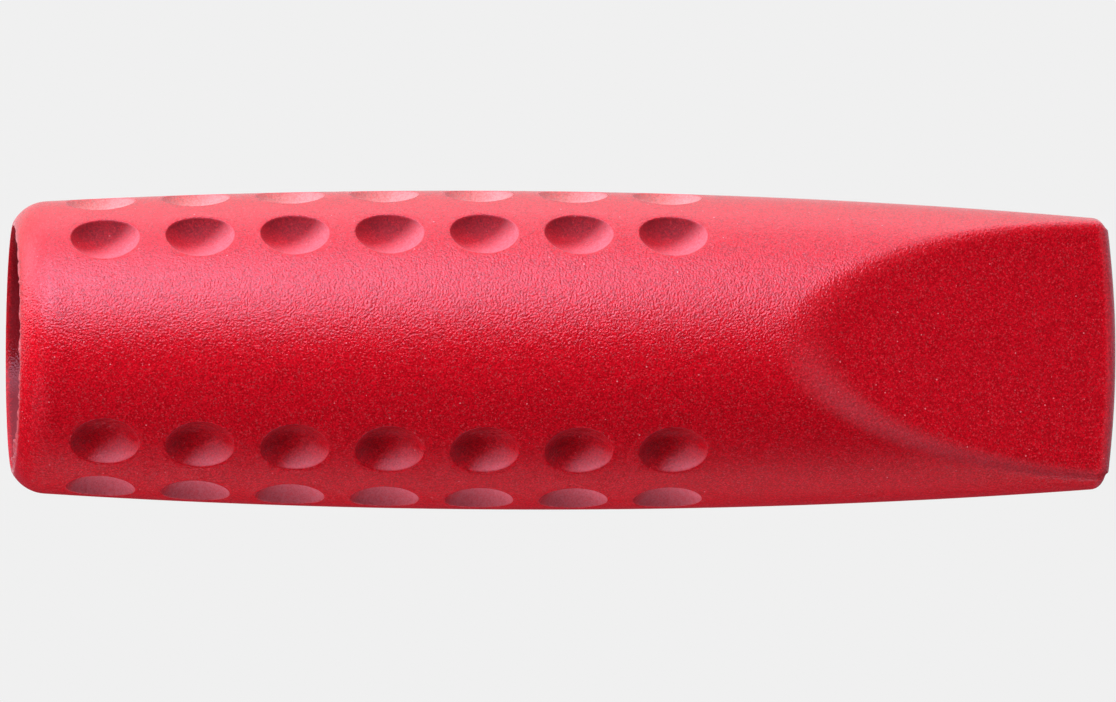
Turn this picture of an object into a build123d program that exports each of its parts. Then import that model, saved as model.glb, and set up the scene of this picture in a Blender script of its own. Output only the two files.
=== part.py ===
import os
from math import sqrt

from build123d import *

# Pencil eraser topper: one rubber moulding that is pushed over the end of a pencil.
# Its axis lies along X, with the open mouth towards -X and the wedge tip towards +X.
# A station is a distance from the mouth plane along the axis. All sizes are millimetres.

# Barrel: a round cap that swells from the mouth to the belly and tapers to the tip.
# A drop is how much smaller the radius is there than at the belly.
overall_length = 45.0
belly_diameter = 13.0
belly_station = 20.0
mouth_drop = 0.625
tip_drop = 0.98
tip_dome_radius = 29.5

# Mouth and bore: a blind hole for the pencil, with a funnel that leads it in.
# The rim rounds the barrel down by the rim drop and leaves a narrow flat lip round the hole.
bore_diameter = 7.0
bore_depth = 26.0
bore_end_radius = 1.5
lead_in_depth = 3.0
rim_length = 1.3
rim_drop = 0.75
lip_width = 0.15

# Wedge: a flat on each side leaves a blunt chisel edge for rubbing out
wedge_length = 13.2
tip_thickness = 3.0
wedge_edge_radius = 0.9
tip_edge_radius = 0.5

# Grip: a band of round dimples above and one below, with a plain panel between them
band_angles = (90.0, 270.0)
rows_per_band = 4
row_pitch_angle = 31.0
dimples_per_row = 7
dimple_pitch = 3.86
first_dimple_station = 3.42
dimple_ball_radius = 1.55
dimple_depth = 0.8

# How far a cutting solid runs out past the surface that it cuts
cutter_overrun = 1.0

belly_radius = belly_diameter / 2
mouth_radius = belly_radius - mouth_drop
lip_radius = mouth_radius - rim_drop
tip_radius = belly_radius - tip_drop
bore_radius = bore_diameter / 2
wedge_station = overall_length - wedge_length
dome_edge_station = overall_length - tip_dome_radius + sqrt(tip_dome_radius**2 - tip_radius**2)


def barrel_radius(station):
    """Radius of the barrel, whose outline is one arc on each side of the belly."""
    if station < belly_station:
        run, drop = belly_station, mouth_drop
    else:
        run, drop = dome_edge_station - belly_station, tip_drop
    arc_radius = (run**2 + drop**2) / (2 * drop)
    return belly_radius - arc_radius + sqrt(arc_radius**2 - (station - belly_station) ** 2)


def barrel():
    """Outer form: the outline from the lip over the rounded rim to the tip, turned about the axis."""
    axis_at_mouth = (0, 0)
    lip = (0, lip_radius)
    rim_end = (rim_length, barrel_radius(rim_length))
    belly = (belly_station, belly_radius)
    dome_edge = (dome_edge_station, tip_radius)
    tip = (overall_length, 0)
    swell = TangentArc(belly, rim_end, tangent=(-1, 0))
    outline = make_face(
        [
            Line(axis_at_mouth, lip),
            TangentArc(rim_end, lip, tangent=swell % 1),
            swell,
            TangentArc(belly, dome_edge, tangent=(1, 0)),
            TangentArc(tip, dome_edge, tangent=(0, 1)),
            Line(tip, axis_at_mouth),
        ]
    )
    return revolve(outline, Axis.X)


def wedge_cutter():
    """Prism that takes away all that lies outside the flat on the +Y side."""
    start = Vector(wedge_station, barrel_radius(wedge_station))
    end = Vector(overall_length, tip_thickness / 2)
    overrun = (end - start).normalized() * cutter_overrun
    near = start - overrun
    far = end + overrun
    clear = belly_radius + cutter_overrun
    outline = Polyline((near.X, near.Y), (far.X, far.Y), (far.X, clear), (near.X, clear), close=True)
    return extrude(make_face(outline), clear, both=True)


def wedge(blank):
    """Cuts both flats, rounds them into the barrel and then rounds the edge of the domed end."""
    cap = blank - wedge_cutter() - mirror(wedge_cutter(), Plane.XZ)
    flats = [face for face in cap.faces().filter_by(GeomType.PLANE) if abs(face.normal_at().Y) > 0.5]
    dome_edges = cap.faces().filter_by(GeomType.SPHERE).edges()
    cap = fillet([edge for flat in flats for edge in flat.edges() if edge not in dome_edges], wedge_edge_radius)
    return fillet(cap.faces().filter_by(GeomType.SPHERE).edges(), tip_edge_radius)


def bore():
    """Core that leaves the funnel and the straight bore with its rounded end."""
    mouth_inner_radius = lip_radius - lip_width
    outline = make_face(
        Polyline(
            (-cutter_overrun, 0),
            (-cutter_overrun, mouth_inner_radius),
            (0, mouth_inner_radius),
            (lead_in_depth, bore_radius),
            (bore_depth, bore_radius),
            (bore_depth, 0),
            close=True,
        )
    )
    end_corner = outline.vertices().sort_by_distance((bore_depth, bore_radius))[0]
    return revolve(fillet(end_corner, bore_end_radius), Axis.X)


def dimples():
    """Balls that press the grip into the barrel, row by row across each band."""
    balls = []
    for band_angle in band_angles:
        for row in range(rows_per_band):
            row_angle = band_angle + (row - (rows_per_band - 1) / 2) * row_pitch_angle
            for place in range(dimples_per_row):
                station = first_dimple_station + place * dimple_pitch
                reach = barrel_radius(station) - dimple_depth + dimple_ball_radius
                # The ball's poles lie along the barrel, so that no dimple has a pole or the seam in it
                ball = Pos(station, reach, 0) * Rot(Y=90) * Sphere(dimple_ball_radius)
                balls.append(Rot(X=row_angle) * ball)
    return balls


cap = wedge(barrel()) - bore() - dimples()

# The finished cap lies on its side, with the origin under the middle of its length
cap = Pos(-overall_length / 2, 0, belly_radius) * cap

os.makedirs("parts", exist_ok=True)
export_step(cap, "parts/eraser_cap.step")
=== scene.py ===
import math

import bpy
import numpy as np
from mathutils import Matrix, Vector


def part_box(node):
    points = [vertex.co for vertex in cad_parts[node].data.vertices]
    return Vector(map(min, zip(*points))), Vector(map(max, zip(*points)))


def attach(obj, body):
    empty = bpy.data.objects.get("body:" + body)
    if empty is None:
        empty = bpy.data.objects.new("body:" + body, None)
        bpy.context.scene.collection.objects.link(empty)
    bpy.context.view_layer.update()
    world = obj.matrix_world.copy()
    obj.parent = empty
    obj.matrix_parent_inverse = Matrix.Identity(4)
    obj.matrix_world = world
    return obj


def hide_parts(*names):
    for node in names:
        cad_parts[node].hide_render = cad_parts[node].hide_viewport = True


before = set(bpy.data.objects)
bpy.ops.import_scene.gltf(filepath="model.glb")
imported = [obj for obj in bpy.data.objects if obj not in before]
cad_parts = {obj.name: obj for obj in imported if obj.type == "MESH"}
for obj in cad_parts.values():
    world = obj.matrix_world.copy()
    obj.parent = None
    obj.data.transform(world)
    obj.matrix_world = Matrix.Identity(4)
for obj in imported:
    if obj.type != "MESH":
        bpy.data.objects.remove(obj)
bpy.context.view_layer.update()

# Rubber cap
# The whole topper is one shot of soft eraser rubber, moulded round a core pin that leaves the bore.
# The mould presses the grip dimples into the barrel, and two flats leave the chisel edge that rubs out.

# Sizes are millimetres, and a station is a distance along the axis from the plane of the mouth
MM = 0.001
low, high = (np.array(corner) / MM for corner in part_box("eraser_cap"))
cap_length = high[0] - low[0]
belly_radius = (high[2] - low[2]) / 2
axis_height = (high[2] + low[2]) / 2

belly_station = 20.0
mouth_drop = 0.625
tip_drop = 0.98
tip_dome_radius = 29.5
mouth_radius = belly_radius - mouth_drop
tip_radius = belly_radius - tip_drop
dome_edge_station = cap_length - tip_dome_radius + math.sqrt(tip_dome_radius**2 - tip_radius**2)

wedge_length = 13.2
tip_half_thickness = 1.5
wedge_edge_softness = 0.3
tip_edge_radius = 0.5

bore_radius = 3.5
bore_depth = 26.0
bore_end_radius = 1.5
lead_in_depth = 3.0
rim_length = 1.3
rim_drop = 0.75
lip_width = 0.15
lip_radius = mouth_radius - rim_drop

band_angles = (90.0, 270.0)
rows_per_band = 4
row_pitch_angle = 31.0
dimples_per_row = 7
dimple_pitch = 3.86
first_dimple_station = 3.42
dimple_ball_radius = 1.55
dimple_depth = 0.8
dimple_edge_round = 0.03
dimple_length_share = 1.03
dimple_width_share = 0.92

# How finely the cap is meshed
cell_sides = 18
panel_columns = 32
plain_spacing = 0.25
bore_corner_rings = 6
rim_rings = 12
tip_edge_rings = 8
outline_steps = 2880

half_band = rows_per_band * row_pitch_angle / 2
grip_start = first_dimple_station - dimple_pitch / 2
grip_end = grip_start + dimples_per_row * dimple_pitch


def barrel_radius(station):
    """Radius of the plain barrel, one arc on each side of the belly."""
    run = np.where(station < belly_station, belly_station, dome_edge_station - belly_station)
    drop = np.where(station < belly_station, mouth_drop, tip_drop)
    arc_radius = (run**2 + drop**2) / (2 * drop)
    return belly_radius - arc_radius + np.sqrt(arc_radius**2 - (station - belly_station) ** 2)


wedge_station = cap_length - wedge_length
wedge_slope = (float(barrel_radius(wedge_station)) - tip_half_thickness) / wedge_length


def depth_past_edges(station, angle, radius):
    """How far a point lies past the line where each rounding starts, on the barrel and on the flats."""
    half_thickness = tip_half_thickness + (cap_length - station) * wedge_slope
    past_round = radius - barrel_radius(station) + wedge_edge_softness
    past_flat = radius * np.abs(np.cos(angle)) - half_thickness + wedge_edge_softness
    return past_round, past_flat


def section_radius(station, angle):
    """Radius of the section at an angle from the front: the barrel cut by both flats, edges softened.

    It halves the gap between a radius inside and one outside until nothing is left of it.
    """
    inner = np.zeros(np.broadcast(station, angle).shape)
    outer = inner + barrel_radius(station)
    for _ in range(40):
        middle = (inner + outer) / 2
        past_round, past_flat = depth_past_edges(station, angle, middle)
        outside = np.hypot(np.maximum(past_round, 0), np.maximum(past_flat, 0)) > wedge_edge_softness
        outer = np.where(outside, middle, outer)
        inner = np.where(outside, inner, middle)
    return (inner + outer) / 2


# Columns of points round the grip: each dimple has its own cell, and plain panels part the two bands
grip_angles = []
for band_angle in band_angles:
    panel_edge = band_angle - half_band
    panel_width = 180 - 2 * half_band
    grip_angles.extend(panel_edge - panel_width * (1 - np.arange(panel_columns) / panel_columns))
    grip_angles.extend(panel_edge + row_pitch_angle / cell_sides * np.arange(rows_per_band * cell_sides))
grip_angles = np.radians(grip_angles)
columns = len(grip_angles)
outline_angles = grip_angles[0] + np.linspace(0, 2 * math.pi, outline_steps + 1)
spread_length = 4.0


def column_angles(station):
    """Angles of the columns past the grip, where they come to lie evenly along the section's outline."""
    radius = section_radius(station, outline_angles)
    across = np.diff(radius * np.cos(outline_angles))
    upward = np.diff(radius * np.sin(outline_angles))
    walked = np.concatenate([[0.0], np.cumsum(np.hypot(across, upward))])
    even = np.interp(np.arange(columns) / columns * walked[-1], walked, outline_angles)
    share = min((station - grip_end) / spread_length, 1)
    return grip_angles * (1 - share) + even * share


def ring(station, angle, radius):
    """Points round the axis, at an angle that runs from the front over the top to the back."""
    across = -radius * np.cos(angle)
    upward = axis_height + radius * np.sin(angle)
    along = np.broadcast_to(low[0] + station, np.shape(across))
    return np.stack([along, across, upward], axis=-1)


points = []
shares = {"dull": [], "dust": [], "pale_dust": [], "grime": [], "worn_edge": [], "flash": []}
faces = []
loops = []


def add_points(rows, **here):
    """Keeps points with the share of each kind of surface at them, and numbers them."""
    first = sum(len(kept) for kept in points)
    points.append(rows.reshape(-1, 3) * MM)
    for kind, kept in shares.items():
        kept.append(np.broadcast_to(here.get(kind, 0.0), rows.shape[:-1]).ravel())
    return first + np.arange(rows[..., 0].size).reshape(rows.shape[:-1])


def join(loop, beyond):
    """Fills the strip between two closed loops of points."""
    faces.extend(np.stack([loop, beyond, np.roll(beyond, -1), np.roll(loop, -1)], axis=-1).tolist())


def add_ring(row, **here):
    """Adds a loop of points round the axis and joins it to the last one."""
    loops.append(add_points(row, **here))
    if len(loops) > 1:
        join(loops[-2], loops[-1])


# Bore, from its closed end outwards: flat end, rounded corner, straight wall, lead-in funnel.
# Painted shade darkens it up to the lip, so that it looks deep, and the lower half of the funnel is
# duller.
bore_surface = {"dull": 0.1, "grime": 2.0}
for share in (0.02, 0.5):
    radius = share * (bore_radius - bore_end_radius)
    add_ring(ring(bore_depth, grip_angles, radius), **bore_surface)
for turn in np.radians(np.linspace(0, 90, bore_corner_rings)):
    station = bore_depth - bore_end_radius * (1 - math.cos(turn))
    radius = bore_radius - bore_end_radius * (1 - math.sin(turn))
    add_ring(ring(station, grip_angles, radius), **bore_surface)
for station in np.linspace(bore_depth - bore_end_radius, lead_in_depth, 5)[1:]:
    add_ring(ring(station, grip_angles, bore_radius), **bore_surface)
mouth_inner_radius = lip_radius - lip_width
shade_end_share = 1.02
grime_fade_share = 0.07
funnel_dull = np.clip(0.1 - 2.5 * np.sin(grip_angles), bore_surface["dull"], 1)
for share in (0.2, 0.4, 0.6, 0.75, 0.83, 0.89, 0.95, 1.0):
    radius = bore_radius + (mouth_inner_radius - bore_radius) * share
    # painted shade, full inside the funnel and fading out just short of the lip
    grime = np.clip((shade_end_share - share) / grime_fade_share, 0, bore_surface["grime"])
    station = lead_in_depth * (1 - share)
    add_ring(ring(station, grip_angles, radius), dull=funnel_dull, grime=grime)

# Flash, a ragged film of rubber left on the lip where the core met the mould, most of it in front,
# with a torn tag low down. Each of its three loops lies a little further out from the mouth's inner edge.
film_height = 0.09
film_lean = 0.06
tag_lean = 1.5
film_inner, film_outer, film_root = 0.01, 0.03, 0.05
tag_angles = (276, 284, 294, 302, 310, 316)
tag_heights = (0.0, 0.12, 0.08, 0.1, 0.05, 0.0)
chance = np.random.default_rng(7)
knots = np.linspace(-30, 335, 241)
ragged = np.interp(np.degrees(grip_angles), knots, chance.uniform(0.0, 1.0, len(knots)) ** 1.5)
tag = np.interp(np.degrees(grip_angles), tag_angles, tag_heights)
ragged *= np.clip(0.5 + np.cos(grip_angles), 0.1, 1)
flash_height = film_height * ragged + tag * (0.7 + 0.3 * ragged)
lean = film_lean * ragged + tag_lean * tag
thin = 0.15 + 0.7 * ragged
add_ring(ring(-flash_height, grip_angles, mouth_inner_radius + film_inner - lean), flash=thin)
add_ring(ring(-flash_height, grip_angles, mouth_inner_radius + film_outer - lean), flash=thin)
add_ring(ring(0.0, grip_angles, mouth_inner_radius + film_root), flash=thin)

# Rim, one arc from the lip to the barrel
small_step = 0.01
slope = float(barrel_radius(rim_length + small_step) - barrel_radius(rim_length)) / small_step
to_centre = np.array([slope, -1.0]) / math.hypot(slope, 1)
rim_end = np.array([rim_length, float(barrel_radius(rim_length))])
chord = np.array([0.0, lip_radius]) - rim_end
rim_radius = chord @ chord / (2 * to_centre @ chord)
rim_centre = rim_end + rim_radius * to_centre
lip_turn = math.atan2(-rim_centre[0], lip_radius - rim_centre[1])
end_turn = math.atan2(rim_end[0] - rim_centre[0], rim_end[1] - rim_centre[1])
for turn in np.linspace(lip_turn, end_turn, rim_rings):
    station = rim_centre[0] + rim_radius * math.sin(turn)
    radius = rim_centre[1] + rim_radius * math.cos(turn)
    add_ring(ring(station, grip_angles, radius))

# Barrel with its plain panels and its dimples, each drawn as loops from the edge of its cell inwards
stations = grip_start + dimple_pitch / cell_sides * np.arange(dimples_per_row * cell_sides + 1)
grid = add_points(ring(stations[:, None], grip_angles, barrel_radius(stations)[:, None]))
join(loops[-1], grid[0])
band_columns = rows_per_band * cell_sides
for band in range(len(band_angles)):
    panel = grid[:, band * (panel_columns + band_columns) :][:, : panel_columns + 1]
    corners = [panel[:-1, :-1], panel[1:, :-1], panel[1:, 1:], panel[:-1, 1:]]
    faces.extend(np.stack(corners, axis=-1).reshape(-1, 4).tolist())

# Points round the edge of a dimple's cell, each as a length along the barrel and a turn about it
ahead = np.arange(cell_sides)
zero = np.zeros(cell_sides, int)
cell_rows = np.concatenate([ahead, zero + cell_sides, cell_sides - ahead, zero])
cell_columns = np.concatenate([zero, ahead, zero + cell_sides, cell_sides - ahead])
edge_along = (cell_rows / cell_sides - 0.5) * dimple_pitch
edge_turn = (cell_columns / cell_sides - 0.5) * math.radians(row_pitch_angle)


def pressed_radius(ball_station, share):
    """Radius of the ball's surface, and of the plain barrel, at a share of the way to the cell's edge."""
    reach = float(barrel_radius(ball_station)) - dimple_depth + dimple_ball_radius
    along = edge_along * share / dimple_length_share
    aside = reach * np.sin(edge_turn * share) / dimple_width_share
    room = dimple_ball_radius**2 - along**2 - aside**2
    ball = reach * np.cos(edge_turn * share) - np.sqrt(np.maximum(room, 0))
    plain = barrel_radius(ball_station + edge_along * share)
    return np.where(room > 0, ball, plain + dimple_depth), plain


# Pale dust, partly a painted highlight, lies in the dimples, most of it on their lower side and towards
# the tip, and painted shade darkens their upper side. A paler dust with painted highlight lies on the
# highest rows. The tables give how much there is in the middle of a dimple, by the height of its row.
row_heights = (-0.96, -0.69, 0.69, 0.96)
row_dusts = (0.6, -0.65, 0.42, 1.5)
row_pale_dusts = (0.0, 0.0, 0.0, 0.9545)
row_grimes = (0.0, -0.1, 0.3, -1.5)
row_dulls = (0.25, 0.25, 1.0, 1.0)
dust_spread = 1.5
dust_tipward = 0.5
dust_downward = 0.87
grime_spread = 1.1

for place in range(dimples_per_row):
    ball_station = first_dimple_station + place * dimple_pitch
    # Halving finds the share at which the ball meets the barrel, which is the rim of the dimple
    inner = np.zeros(4 * cell_sides)
    outer = inner + 1
    for _ in range(30):
        middle = (inner + outer) / 2
        ball, plain = pressed_radius(ball_station, middle)
        inner = np.where(ball < plain, middle, inner)
        outer = np.where(ball < plain, outer, middle)
    rim_share = (inner + outer) / 2
    # Loops from the cell's edge inwards, each with how much it is in the dimple: not yet, half or fully
    edge_step = dimple_edge_round / np.hypot(edge_along, edge_turn * belly_radius)
    levels = [(rim_share + (1 - rim_share) * step, 0.0) for step in (0.6, 0.3)]
    levels += [(rim_share + edge_step, 0.0), (rim_share, 0.5), (rim_share - edge_step, 1.0)]
    levels += [(rim_share * step, 1.0) for step in (0.94, 0.86, 0.75, 0.62, 0.48, 0.33, 0.18, 0.07)]
    outward = np.hypot(edge_along, edge_turn * belly_radius) * rim_share
    tipward = edge_along / outward
    for band, band_angle in enumerate(band_angles):
        for row in range(rows_per_band):
            row_angle = math.radians(band_angle + (row - (rows_per_band - 1) / 2) * row_pitch_angle)
            downward = -np.sign(math.cos(row_angle)) * edge_turn * belly_radius / outward
            row_height = math.sin(row_angle)
            row_dust = np.interp(row_height, row_heights, row_dusts)
            row_pale_dust = np.interp(row_height, row_heights, row_pale_dusts)
            row_grime = np.interp(row_height, row_heights, row_grimes)
            row_dull = np.interp(row_height, row_heights, row_dulls)
            dust_side = dust_spread * (dust_tipward * tipward + dust_downward * downward)
            first_column = band * (panel_columns + band_columns) + panel_columns + row * cell_sides
            edge = grid[place * cell_sides + cell_rows, (first_column + cell_columns) % columns]
            for share, in_dimple in levels:
                ball, plain = pressed_radius(ball_station, share)
                radius = plain if in_dimple == 0 else ball
                if in_dimple == 0.5:
                    radius = radius - dimple_edge_round / 3
                loop = ring(ball_station + edge_along * share, row_angle + edge_turn * share, radius)
                # pale dust with painted highlight on the lower walls, painted shade on the upper walls
                dust = in_dimple * np.clip(row_dust + dust_side * share, 0, 1)
                grime = in_dimple * np.clip(row_grime - grime_spread * downward * share, 0, 1)
                dull = in_dimple * np.maximum(row_dull, dust)
                pale_dust = in_dimple * row_pale_dust
                numbers = add_points(loop, dull=dull, dust=dust, pale_dust=pale_dust, grime=grime)
                join(numbers, edge)
                edge = numbers
            faces.append(edge.tolist())
loops.append(grid[-1])

# Wedge, whose last rows bend to follow the edge of the domed end
bend_length = 4.0
bend_station = cap_length - bend_length
last_station = cap_length - tip_edge_radius


def dome_station(radius):
    """Station of the domed end at a distance from the axis."""
    return cap_length - tip_dome_radius + np.sqrt(tip_dome_radius**2 - radius**2)


# The rounded edges of the flats are painted paler, a painted glow of light through the rubber, most on
# their lower side
wedge_start = grip_end + plain_spacing
wedge_rows = round((last_station - wedge_start) / plain_spacing)
for station in np.linspace(wedge_start, last_station, wedge_rows):
    angle = column_angles(station)
    end_radius = section_radius(dome_edge_station, angle) - tip_edge_radius
    end_station = dome_station(end_radius) - tip_edge_radius
    share = max(station - bend_station, 0) / (last_station - bend_station)
    bent = np.where(share > 0, bend_station + share * (end_station - bend_station), station)
    radius = section_radius(bent, angle)
    past_edges = np.minimum(*depth_past_edges(bent, angle, radius))
    at_edge = np.clip(past_edges / wedge_edge_softness + 0.4, 0, 1)
    below = np.clip(0.2 - 2 * np.sin(angle), 0.1, 1)
    add_ring(ring(bent, angle, radius), worn_edge=at_edge * below)

# Rounded edge of the tip and its shallow dome
side = points[-1] / MM
around = np.roll(side, -1, axis=0) - np.roll(side, 1, axis=0)
inward = np.stack([np.zeros(columns), -around[:, 2], around[:, 1]], axis=-1)
inward /= np.linalg.norm(inward, axis=1)[:, None]
centre = np.array([0.0, 0.0, axis_height])
inward *= np.sign(np.sum(inward * (centre - side), axis=1))[:, None]
for turn in np.radians(np.linspace(0, 90, tip_edge_rings))[1:]:
    row = side + inward * tip_edge_radius * (1 - math.cos(turn))
    row[:, 0] += tip_edge_radius * math.sin(turn)
    # the tip's rounded edge is painted paler too, as a painted glow
    add_ring(row, worn_edge=math.sin(2 * turn))
dome_row = points[-1] / MM
for share in (0.92, 0.8, 0.64, 0.46, 0.28, 0.12, 0.02):
    row = dome_row.copy()
    row[:, 1:] = centre[1:] + (dome_row[:, 1:] - centre[1:]) * share
    row[:, 0] = low[0] + dome_station(np.hypot(row[:, 1], row[:, 2] - axis_height))
    add_ring(row)

# The end of the bore and the middle of the dome are closed by one face each
faces.append(loops[0].tolist())
faces.append(loops[-1][::-1].tolist())

# The grid points under the dimples belong to no face and are left out
used = np.unique(np.concatenate(faces))
renumbered = np.zeros(used[-1] + 1, int)
renumbered[used] = np.arange(len(used))
faces = [renumbered[face].tolist() for face in faces]
cap_mesh = bpy.data.meshes.new("eraser_rubber_cap")
cap_mesh.from_pydata(np.concatenate(points)[used].tolist(), [], faces)
for kind, kept in shares.items():
    values = np.concatenate(kept)[used]
    cap_mesh.attributes.new(kind, "FLOAT", "POINT").data.foreach_set("value", values)
cap_mesh.polygons.foreach_set("use_smooth", [True] * len(cap_mesh.polygons))

cap = bpy.data.objects.new("eraser_rubber_cap", cap_mesh)
bpy.context.scene.collection.objects.link(cap)
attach(cap, "root")
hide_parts("eraser_cap")


def linear(hex_colour):
    """Linear RGBA of an sRGB hex colour."""
    channels = [int(hex_colour[i : i + 2], 16) / 255 for i in (1, 3, 5)]
    return [c / 12.92 if c <= 0.04045 else ((c + 0.055) / 1.055) ** 2.4 for c in channels] + [1.0]


def node(tree, kind, sockets, **settings):
    """Adds a node, sets its properties, and sets or links its input sockets."""
    made = tree.nodes.new(kind)
    for name, value in settings.items():
        setattr(made, name, value)
    for name, value in sockets.items():
        if isinstance(value, bpy.types.NodeSocket):
            tree.links.new(value, made.inputs[name])
        else:
            made.inputs[name].default_value = value
    return made


# Moulded eraser rubber, with the fine grain of a spark-eroded mould. It looks matt and sandy: a soft
# pink sheen where light glances off it and a deep red elsewhere, with a few pale specks of filler in it
# and paler grains painted as glints. Pale dust with a painted highlight lies in the dimples, painted
# shade darkens their upper side and the bore, the edges are painted paler as a glow, and the thin flash
# looks pale pink.
# The real grain is too fine to show at this scale, so it is drawn coarser.
rubber_red = "#E80A22"
dark_grain = "#AE0412"
filler_and_glint_white = "#E8808C"
dust_pink = "#DC7082"
dust_beige = "#DCB4B0"
flash_pink = "#DE8690"
grime_red = "#5C0208"
grain_size = 0.055
speck_spacing = 0.3
speck_radius = 0.035
bump_spacing = 1.5 * grain_size
bump_height = 0.03

rubber = bpy.data.materials.new("moulded_eraser_rubber")
rubber.use_nodes = True
tree = rubber.node_tree
tree.nodes.clear()
position = node(tree, "ShaderNodeTexCoord", {})
dull = node(tree, "ShaderNodeAttribute", {}, attribute_name="dull")
grains = node(
    tree,
    "ShaderNodeTexVoronoi",
    {"Vector": position.outputs["Object"], "Scale": 1 / (grain_size * MM)},
)
grain_random = node(tree, "ShaderNodeSeparateColor", {"Color": grains.outputs["Color"]})
colour = node(
    tree,
    "ShaderNodeMix",
    {"Factor": grain_random.outputs["Red"], "A": linear(dark_grain), "B": linear(rubber_red)},
    data_type="RGBA",
)

# A few of the grains are paler, painted glints of the sandy surface
paler = node(
    tree,
    "ShaderNodeMapRange",
    {"Value": grain_random.outputs["Green"], "From Min": 0.8, "To Max": 0.15},
)
colour = node(
    tree,
    "ShaderNodeMix",
    {"Factor": paler.outputs["Result"], "A": colour.outputs["Result"], "B": linear(filler_and_glint_white)},
    data_type="RGBA",
)

# Filler specks: a few of the cells of a coarser pattern hold one
speck_cells = node(
    tree,
    "ShaderNodeTexVoronoi",
    {"Vector": position.outputs["Object"], "Scale": 1 / (speck_spacing * MM)},
)
speck_random = node(tree, "ShaderNodeSeparateColor", {"Color": speck_cells.outputs["Color"]})
speck_reach = node(
    tree,
    "ShaderNodeMapRange",
    {"Value": speck_random.outputs["Blue"], "From Min": 0.7, "To Max": speck_radius / speck_spacing},
)
speck = node(
    tree,
    "ShaderNodeMath",
    {0: speck_cells.outputs["Distance"], 1: speck_reach.outputs["Result"]},
    operation="LESS_THAN",
)
colour = node(
    tree,
    "ShaderNodeMix",
    {"Factor": speck.outputs["Value"], "A": colour.outputs["Result"], "B": linear(filler_and_glint_white)},
    data_type="RGBA",
)

# What lies on the rubber or thins it, and the painted shade, highlight and glow, each broken up by the
# grain
grain_cover = node(
    tree,
    "ShaderNodeMapRange",
    {"Value": grain_random.outputs["Blue"], "To Min": 0.55, "To Max": 1.0},
)
overlays = (
    ("worn_edge", dust_pink, 0.28),
    ("grime", grime_red, 0.85),
    ("dust", dust_pink, 1.0),
    ("pale_dust", dust_beige, 0.5),
    ("flash", flash_pink, 1.0),
)
for kind, cover_colour, most in overlays:
    here = node(tree, "ShaderNodeAttribute", {}, attribute_name=kind)
    cover = node(
        tree,
        "ShaderNodeMath",
        {0: here.outputs["Fac"], 1: grain_cover.outputs["Result"]},
        operation="MULTIPLY",
    )
    thinned = node(tree, "ShaderNodeMapRange", {"Value": cover.outputs["Value"], "To Max": most})
    colour = node(
        tree,
        "ShaderNodeMix",
        {"Factor": thinned.outputs["Result"], "A": colour.outputs["Result"], "B": linear(cover_colour)},
        data_type="RGBA",
    )

# The grain shows less, and the surface shines less, where the rubber is dull
bump_strength = node(
    tree,
    "ShaderNodeMapRange",
    {"Value": dull.outputs["Fac"], "To Min": 1.0, "To Max": 0.35},
)
sand = node(
    tree,
    "ShaderNodeTexNoise",
    {"Vector": position.outputs["Object"], "Scale": 1 / (bump_spacing * MM), "Detail": 1.0},
)
bump = node(
    tree,
    "ShaderNodeBump",
    {
        "Height": sand.outputs["Fac"],
        "Strength": bump_strength.outputs["Result"],
        "Distance": bump_height * MM,
    },
)
roughness = node(
    tree,
    "ShaderNodeMapRange",
    {"Value": dull.outputs["Fac"], "To Min": 0.22, "To Max": 0.8},
)
surface = node(
    tree,
    "ShaderNodeBsdfPrincipled",
    {
        "Base Color": colour.outputs["Result"],
        "Roughness": roughness.outputs["Result"],
        "IOR": 1.5,
        "Specular IOR Level": 0.72,
        "Specular Tint": linear("#F4D8FF"),
        "Sheen Weight": 0.2,
        "Sheen Roughness": 0.25,
        "Sheen Tint": linear("#FF90C0"),
        "Normal": bump.outputs["Normal"],
    },
)
node(tree, "ShaderNodeOutputMaterial", {"Surface": surface.outputs["BSDF"]})
cap_mesh.materials.append(rubber)

# Studio
# A pale table top and backdrop. Softboxes in front, on the left and overhead lay a broad sheen on the
# cap's upper half. Three fills light its lower half as a white table would, and show in no reflection.
# The camera looks from a little below the level of the axis, and sees through the table top from below.
floor_colour = "#BEBEBE"
floor_half = 1.0
floor_mesh = bpy.data.meshes.new("table_top")
floor_corners = [(-floor_half, -floor_half, 0), (floor_half, -floor_half, 0)]
floor_corners += [(floor_half, floor_half, 0), (-floor_half, floor_half, 0)]
floor_mesh.from_pydata(floor_corners, [], [(0, 1, 2, 3)])
floor = bpy.data.objects.new("table_top", floor_mesh)
bpy.context.scene.collection.objects.link(floor)

# Clear table top with a white coat: seen from above it is matt and pale and takes the cap's shadow,
# and light from below comes through it.
acrylic = bpy.data.materials.new("coated_acrylic_table_top")
acrylic.use_nodes = True
tree = acrylic.node_tree
tree.nodes.clear()
light_path = node(tree, "ShaderNodeLightPath", {})
geometry = node(tree, "ShaderNodeNewGeometry", {})
from_above = node(
    tree,
    "ShaderNodeMath",
    {0: light_path.outputs["Is Camera Ray"], 1: geometry.outputs["Backfacing"]},
    operation="SUBTRACT",
    use_clamp=True,
)
clear = node(tree, "ShaderNodeBsdfTransparent", {})
matt = node(tree, "ShaderNodeBsdfDiffuse", {"Color": linear(floor_colour)})
seen = node(
    tree,
    "ShaderNodeMixShader",
    {0: from_above.outputs["Value"], 1: clear.outputs["BSDF"], 2: matt.outputs["BSDF"]},
)
node(tree, "ShaderNodeOutputMaterial", {"Surface": seen.outputs["Shader"]})
floor_mesh.materials.append(acrylic)

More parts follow.
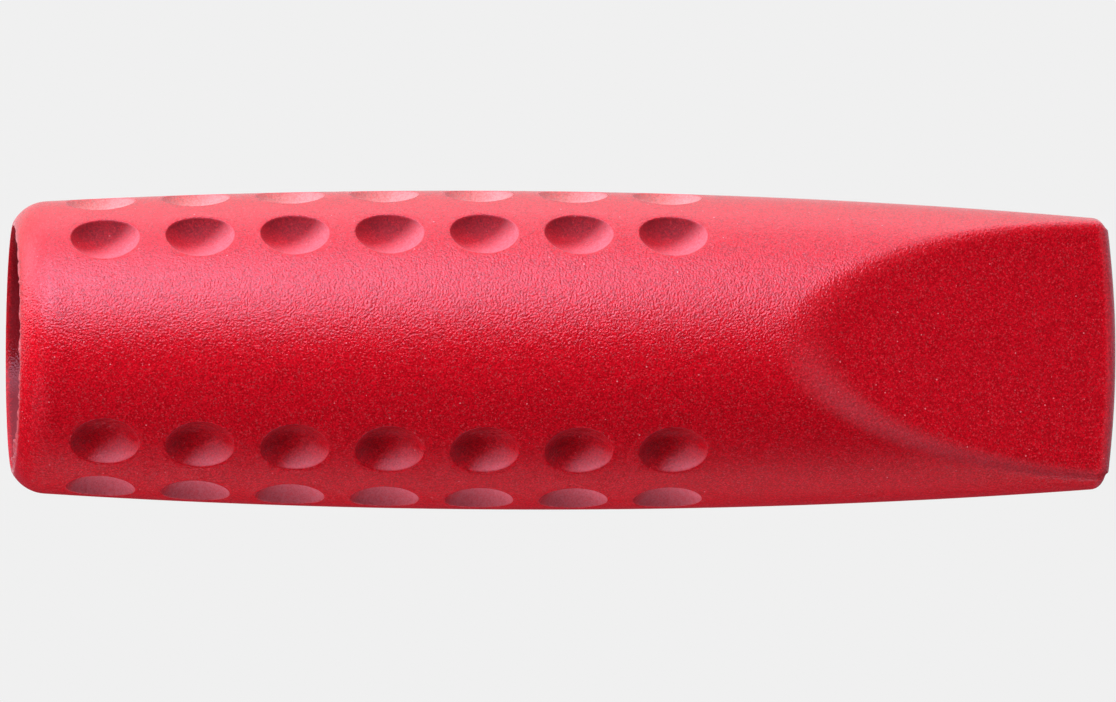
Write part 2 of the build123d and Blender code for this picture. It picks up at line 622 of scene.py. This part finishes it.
# The room is dim, and the pale backdrop stands behind the table.
room_strength = 0.03
backdrop_colour = "#F0F0F0"
world = bpy.data.worlds.new("studio")
world.use_nodes = True
tree = world.node_tree
tree.nodes.clear()
light_path = node(tree, "ShaderNodeLightPath", {})
around_cap = node(tree, "ShaderNodeTexCoord", {})
direction = node(tree, "ShaderNodeSeparateXYZ", {"Vector": around_cap.outputs["Generated"]})
behind = node(
    tree,
    "ShaderNodeMath",
    {0: direction.outputs["Y"], 1: direction.outputs["Z"]},
    operation="MINIMUM",
)
standing = node(tree, "ShaderNodeMath", {0: behind.outputs["Value"], 1: 0.0}, operation="GREATER_THAN")
mirrored = node(
    tree,
    "ShaderNodeMath",
    {0: light_path.outputs["Is Glossy Ray"], 1: light_path.outputs["Is Transmission Ray"]},
    operation="MAXIMUM",
)
mirrored_there = node(
    tree,
    "ShaderNodeMath",
    {0: mirrored.outputs["Value"], 1: standing.outputs["Value"]},
    operation="MULTIPLY",
)
shown_share = node(
    tree,
    "ShaderNodeMath",
    {0: light_path.outputs["Is Camera Ray"], 1: mirrored_there.outputs["Value"]},
    operation="MAXIMUM",
)
room = node(tree, "ShaderNodeBackground", {"Color": linear("#FFFFFF"), "Strength": room_strength})
backdrop = node(tree, "ShaderNodeBackground", {"Color": linear(backdrop_colour), "Strength": 1.0})
shown = node(
    tree,
    "ShaderNodeMixShader",
    {0: shown_share.outputs["Value"], 1: room.outputs["Background"], 2: backdrop.outputs["Background"]},
)
node(tree, "ShaderNodeOutputWorld", {"Surface": shown.outputs["Shader"]})
bpy.context.scene.world = world

cap_centre = Vector(((low[0] + high[0]) / 2, 0, axis_height)) * MM
lamp_distance = 0.5


def direction_to(turn, rise):
    """Direction from the cap, turned from the front towards the tip and raised."""
    level = math.cos(rise)
    return Vector((math.sin(turn) * level, -math.cos(turn) * level, math.sin(rise)))


def softbox(name, azimuth, elevation, width, height, radiance):
    """A soft light that the cap sees at an azimuth from the front and at an elevation.

    A radiance of 1 shows as white. Its sizes are metres.
    """
    outward = direction_to(math.radians(azimuth), math.radians(elevation))
    lamp = bpy.data.lights.new(name, "AREA")
    lamp.shape = "RECTANGLE"
    lamp.size = width
    lamp.size_y = height
    lamp.energy = radiance * math.pi * width * height
    holder = bpy.data.objects.new(name, lamp)
    holder.location = cap_centre + outward * lamp_distance
    holder.rotation_euler = (-outward).to_track_quat("-Z", "Y").to_euler()
    bpy.context.scene.collection.objects.link(holder)
    return holder


softbox("front_top_softbox", -12, 56, 0.4, 0.3, 3.9)
softbox("front_softbox", -16, 30, 0.36, 0.24, 4.3)
softbox("overhead_softbox", 180, 80, 0.5, 0.52, 1.1)
softbox("left_softbox", -92, 36, 0.42, 0.36, 2.5)
softbox("left_front_softbox", -53, 34, 0.32, 0.3, 2.6)
fills = [
    softbox("table_bounce", 180, -58, 0.5, 0.35, 4.6),
    softbox("low_left_fill", -60, -32, 0.4, 0.27, 3.4),
    softbox("right_fill", 85, -10, 0.4, 0.4, 0.9),
]
for fill in fills:
    fill.visible_glossy = False

view_azimuth = math.radians(-4.7)
view_elevation = math.radians(-4.2)
view_distance = 1.0
frame_width = 0.0455
aim_shift = Vector((-0.25, 0, -0.02)) * MM
aim = cap_centre + aim_shift
back = direction_to(view_azimuth, view_elevation)
lens = bpy.data.cameras.new("camera")
lens.sensor_width = 36.0
lens.lens = lens.sensor_width * view_distance / frame_width
lens.clip_start = 0.01
camera = bpy.data.objects.new("camera", lens)
camera.location = aim + back * view_distance
camera.rotation_euler = (-back).to_track_quat("-Z", "Y").to_euler()
bpy.context.scene.collection.objects.link(camera)
bpy.context.scene.camera = camera
bpy.context.scene.view_settings.view_transform = "Standard"
